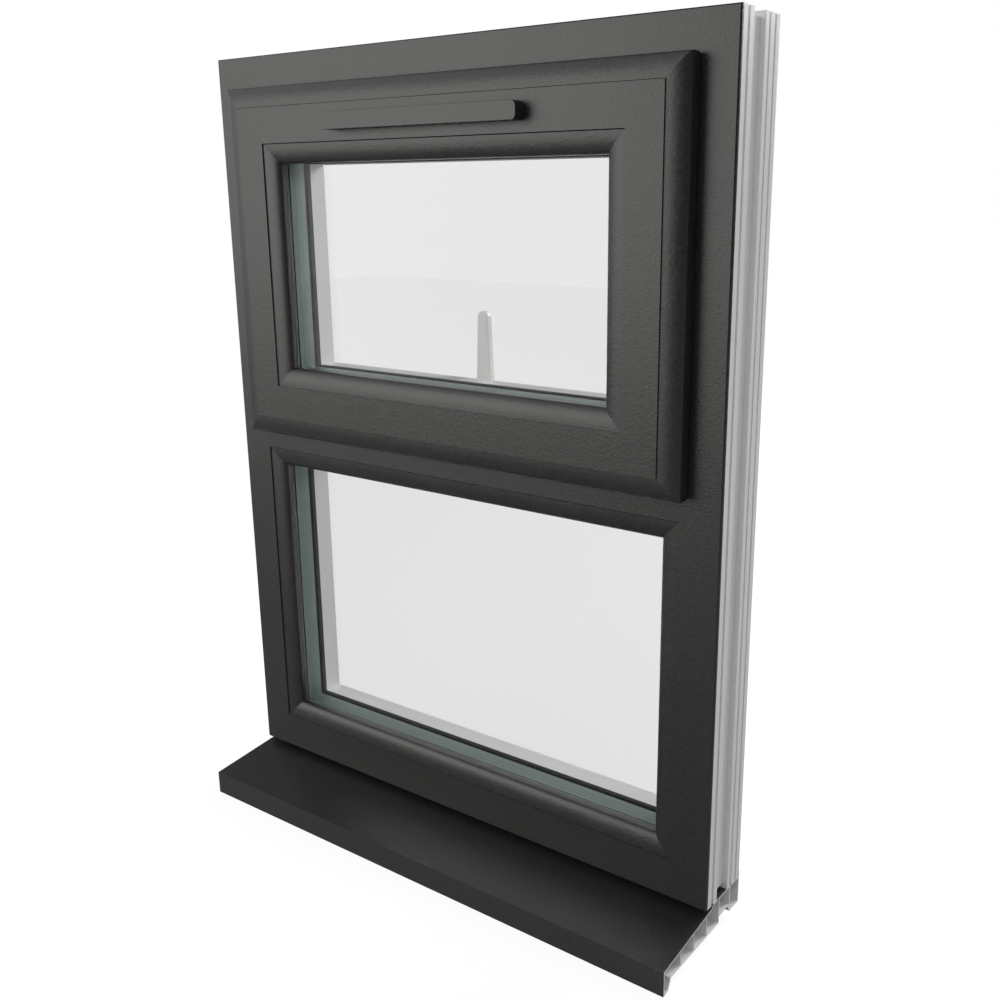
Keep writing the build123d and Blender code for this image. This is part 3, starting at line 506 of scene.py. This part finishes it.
def buildWorld(look=worldLook):
    world = bpy.data.worlds.new("studioWorld")
    bpy.context.scene.world = world
    world.use_nodes = True
    tree = world.node_tree
    shader = tree.nodes["Background"].inputs
    rays = addNode(tree, "ShaderNodeLightPath").outputs
    toBright = addNode(tree, "ShaderNodeVectorMath", operation="DOT_PRODUCT")
    feed(tree, toBright.inputs[0], addNode(tree, "ShaderNodeTexCoord").outputs["Generated"])
    feed(tree, toBright.inputs[1], look["brightSide"])
    sector = rampNode(tree, toBright.outputs["Value"], *look["falloff"])
    glossy = mixValue(tree, sector, look["dimGlossy"], look["brightGlossy"])
    lit = mixValue(tree, rays["Is Glossy Ray"], look["ambient"], glossy)
    through = mixValue(tree, rays["Is Transmission Ray"], lit, look["throughGlass"])
    seen = mixValue(tree, rays["Is Camera Ray"], through, look["background"])
    feed(tree, shader["Color"], (1.0, 1.0, 1.0, 1.0))
    feed(tree, shader["Strength"], seen)


buildWorld()

# A wide low lamp in front on the left, a weak one on the right and one in the room behind

lamps = {
    "keyLight": {"place": (-1.8, -2.2, 0.92), "target": (-1.5, 0.0, 0.92), "size": (2.7, 1.84),
                 "power": 23.5, "colour": (1.0, 0.975, 0.93)},
    "sideLight": {"place": (2.4, 0.9, 0.4), "target": (0.3, 0.0, 0.35), "size": (1.0, 1.4),
                  "power": 1.5, "colour": (1.0, 1.0, 1.0)},
    "roomLight": {"place": (1.0, 1.9, 1.75), "target": (0.0, 0.0, 0.4), "size": (1.0, 1.0),
                  "power": 38.0, "colour": (1.0, 1.0, 1.0)},
}


def addLamp(name, look):
    data = bpy.data.lights.new(name, "AREA")
    data.shape = "RECTANGLE"
    data.size, data.size_y = look["size"]
    data.energy = look["power"]
    data.color = look["colour"]
    lamp = bpy.data.objects.new(name, data)
    bpy.context.scene.collection.objects.link(lamp)
    aim = Vector(look["target"]) - Vector(look["place"])
    lamp.location = look["place"]
    lamp.rotation_euler = aim.to_track_quat("-Z", "Y").to_euler()


for name, look in lamps.items():
    addLamp(name, look)


# The camera stands right of and above the window. Its three directions and its place come from
# the window's straight edges as the photo shows them.

photoCamera = {
    "place": (0.70946, -0.81113, 0.68124),
    "right": (0.820550, 0.571575, 0.000903),
    "up": (-0.148562, 0.211748, 0.965967),
    "back": (0.551931, -0.792758, 0.258664),
    "lens": 39.059,
    "sensor": 36.0,
    "shift": (-0.06367, -0.00692),
    "nearest": 0.01,
}


def buildCamera(look=photoCamera):
    data = bpy.data.cameras.new("photoCamera")
    data.sensor_fit = "HORIZONTAL"
    data.sensor_width = look["sensor"]
    data.lens = look["lens"]
    data.shift_x, data.shift_y = look["shift"]
    data.clip_start = look["nearest"]
    camera = bpy.data.objects.new("photoCamera", data)
    bpy.context.scene.collection.objects.link(camera)
    turn = Matrix((look["right"], look["up"], look["back"])).transposed()
    camera.matrix_world = Matrix.Translation(look["place"]) @ turn.to_4x4()
    bpy.context.scene.camera = camera


buildCamera()
bpy.context.scene.view_settings.view_transform = "Standard"
print("stage, lamps and camera made")
